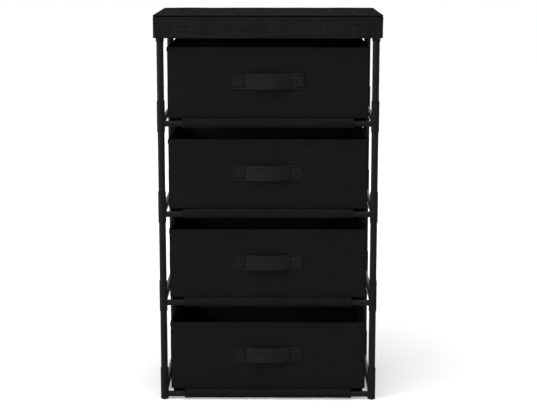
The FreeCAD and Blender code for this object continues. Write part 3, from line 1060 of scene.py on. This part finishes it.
# %% [markdown]
# ## The handles
# A handle is a length of webbing, sewn flat to the drawer's front at both ends with a box and a cross.
# Between the seams it is longer than the gap, so it stands off in a low arch with a crease at each foot.
# The arch is a parabola; a soft maximum rounds the crease. The strap's round-edged section is carried along
# that line, and the heavy thread pulls a groove into the webbing along each seam.

# %% The line of a strap and its seams
STRAP_THICKNESS = 0.002
STRAP_PATCH = 0.026
CREASE = 0.0004
BOX_MARGIN = 0.004
BOX_NEAR = 0.0025
BOX_FAR = 0.0035
SECOND_ROW = 0.0009
GROOVE_WIDTH = 0.0011


def strap_rise(x, half_free, bulge):
    """How far the strap's middle line stands off: soft maximum of 0 and bulge (1 - (x / half_free)^2)."""
    arch = bulge * (1 - (x / half_free) ** 2)
    return STRAP_THICKNESS / 2 + CREASE * np.logaddexp(0, arch / CREASE)


def seam_lines(low, high, half_free):
    """Starts and ends (x, z) of the seams: at each end a box, its diagonals and a second row at the arch."""
    bottom, top = low.z + BOX_MARGIN, high.z - BOX_MARGIN
    starts, ends = [], []
    for side in (-1, 1):
        near = side * (half_free + BOX_NEAR)
        far = side * (high.x - BOX_FAR)
        second = side * (half_free + SECOND_ROW)
        box = np.array([(near, bottom), (far, bottom), (far, top), (near, top)])
        starts += [box, box[:2], [(second, bottom)]]
        ends += [np.roll(box, -1, 0), box[2:], [(second, top)]]
    return np.concatenate(starts), np.concatenate(ends)


def groove(x, z, starts, ends):
    """1 on a seam, falling off as exp(-(d / width)^2) with the distance d from the nearest seam."""
    place = np.stack(np.broadcast_arrays(x, z), -1)[..., None, :]
    run = ends - starts
    share = np.clip(((place - starts) * run).sum(-1) / (run**2).sum(-1), 0, 1)
    distance = norm(place - starts - share[..., None] * run, axis=-1).min(-1)
    return np.exp(-((distance / GROOVE_WIDTH) ** 2))


print("a strap is sewn down over", STRAP_PATCH * 1000, "mm")

# %% Straps and their box stitching
STRAP_POINTS = 241
STRAP_EDGE = 0.0007
STRAP_WAVER = 0.006
GROOVE_DEPTH = 0.00045
STRAP_THREAD = 0.0011
THREAD_SINK = 0.0003
SEAM_PLACES = 12


def make_strap(number):
    """Carries the webbing's section along the arch, presses the seams in and sews them."""
    drawer = f"drawer_{number}"
    low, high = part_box(f"{drawer}_strap")
    half_free = high.x - STRAP_PATCH
    bulge = high.y - low.y - STRAP_THICKNESS
    x = np.linspace(low.x, high.x, STRAP_POINTS)
    line = np.stack([x, high.y - strap_rise(x, half_free, bulge)], -1)
    ahead = np.gradient(line, axis=0)
    ahead /= norm(ahead, axis=1, keepdims=True)
    off = np.stack([ahead[:, 1], -ahead[:, 0]], -1)
    width = high.z - low.z
    section = outline(width / 2, STRAP_THICKNESS / 2, STRAP_EDGE, STRAP_EDGE)[:, 0]
    waver = waves(np.column_stack([x, 0 * x, 0 * x]), [0.02, 0.035, 0.06], 110 + number)
    level = section[:, :1] * (1 + STRAP_WAVER * waver) + (high.z + low.z) / 2
    starts, ends = seam_lines(low, high, half_free)
    height = section[:, 1:] - GROOVE_DEPTH * groove(x, level, starts, ends) * (section[:, 1:] > 0)
    grid = np.dstack([line[None] + height[..., None] * off[None], level])
    strap = cloth(f"{drawer}_strap_webbing", grid, ring=True, ends=True)
    dress(strap, drawer, strap_webbing, "strap_webbing", f"{drawer}_strap")
    rows = []
    for path in np.linspace(starts, ends, SEAM_PLACES, axis=1):
        y = high.y - strap_rise(path[:, 0], half_free, bulge) - STRAP_THICKNESS / 2 + THREAD_SINK
        seam = np.column_stack([path[:, 0], y, path[:, 1]])
        rows.append(stitch_places(seam, (0, -1, 0)))
    thread = sew(f"{drawer}_strap_stitching", rows, STRAP_THREAD)
    dress(thread, drawer, strap_thread, "strap_webbing")
    cut = (width, float(norm(np.diff(line, axis=0), axis=1).sum()))
    lay(strap, cut, held="stretched", rests_on=[f"{drawer}_front_board"], with_pieces=[thread])


for number in (1, 2, 3, 4):
    make_strap(number)

# %% [markdown]
# ## Floor and light
# Black cloth shows its form only in soft light, so the dresser stands in an even white surround, with a
# tall softbox on the left that draws a bright line down each tube, a large one overhead, and weak ones on
# the right and behind. The surround is white to the eye and to reflections, but lights the cloth less. So
# does the floor: near the dresser the lamps make it white, so it keeps a faint shadow, and further off it
# glows.

# %% Surround and floor
SURROUND_LIGHT = 0.28
FLOOR_HALF = 60
FLOOR_GREY = (0.8, 0.8, 0.8, 1.0)
NEAR_GLOW = 0.35
MORE_GLOW = 0.43
WHITE = (1.0, 1.0, 1.0, 1.0)
BLACK = (0.0, 0.0, 0.0, 1.0)


def seen_directly(tree):
    """1 where the ray comes from the eye, a reflection or a transmission, else 0."""
    path = tree.nodes.new("ShaderNodeLightPath")
    rays = ("Is Camera Ray", "Is Glossy Ray", "Is Transmission Ray")
    camera, glossy, through = (Wire(path.outputs[name]) for name in rays)
    return camera.math("MAXIMUM", camera, glossy.math("MAXIMUM", glossy, through))


world = bpy.data.worlds.new("surround")
scene.world = world
world.use_nodes = True
backdrop = world.node_tree.nodes["Background"]
seen_directly(world.node_tree).blend((SURROUND_LIGHT,) * 3 + (1.0,), WHITE).feed(backdrop, "Color")

corners = np.array([(-1, -1, 0), (1, -1, 0), (1, 1, 0), (-1, 1, 0)]) * FLOOR_HALF
floor = new_piece("floor", corners, [(0, 1, 2, 3)])
fixed = {"Base_Color": FLOOR_GREY, "Roughness": 1.0, "Emission_Strength": 1.0}
floor_paint, floor_shader, place, _ = new_finish("floor_paint", 0.0, **fixed)
far = place.node("ShaderNodeVectorMath", {"operation": "LENGTH"}, {0: place}, 1).ramp(0.3, 3.0)
glow = seen_directly(floor_paint.node_tree) * (far * MORE_GLOW + NEAR_GLOW)
glow.blend(BLACK, WHITE).feed(floor_shader, "Emission Color")
floor.data.materials.append(floor_paint)
print("floor", 2 * FLOOR_HALF, "m wide")

# %% Softboxes
def softbox(name, place, target, wide, tall, power):
    """A rectangular lamp at a place, turned towards a target."""
    lamp = bpy.data.lights.new(name, "AREA")
    lamp.shape = "RECTANGLE"
    lamp.size, lamp.size_y = wide, tall
    lamp.energy = power
    holder = bpy.data.objects.new(name, lamp)
    scene.collection.objects.link(holder)
    holder.location = place
    holder.rotation_euler = (Vector(target) - Vector(place)).to_track_quat("-Z", "Y").to_euler()


softbox("tall_softbox", (-2.8, -1.75, 1.5), (0, 0, 0.5), 1.0, 2.6, 78)
softbox("side_softbox", (2.4, -2.2, 1.6), (0, 0, 0.4), 1.8, 1.8, 5)
softbox("overhead_softbox", (0.0, -0.6, 2.9), (0, -0.1, 0.5), 1.6, 1.6, 54)
softbox("rear_softbox", (0.6, 2.6, 2.2), (0, 0, 0.4), 2.4, 2.4, 24)
print("lamps", [lamp.name for lamp in bpy.data.lights])

# %% [markdown]
# ## Camera
# The dresser is seen from the front, a little from above, with a long lens so that the posts stay almost
# upright. The camera stands a hair to the right of the middle, as the sides of the drawers show.

# %% Camera
LOOKS_DOWN = 10.764
LOOKS_LEFT = 0.343
eye = bpy.data.cameras.new("camera")
eye.lens = 93.97
eye.sensor_width = 36.0
camera = bpy.data.objects.new("camera", eye)
scene.collection.objects.link(camera)
camera.location = (0.0175, -2.9, 0.931)
camera.rotation_euler = (np.radians(90 - LOOKS_DOWN), 0.0, np.radians(LOOKS_LEFT))
scene.camera = camera
scene.view_settings.view_transform = "Standard"
print("camera at", np.round(camera.location, 4).tolist())

# %% [markdown]
# ## Size
# The cloth must stay where the CAD solids are.
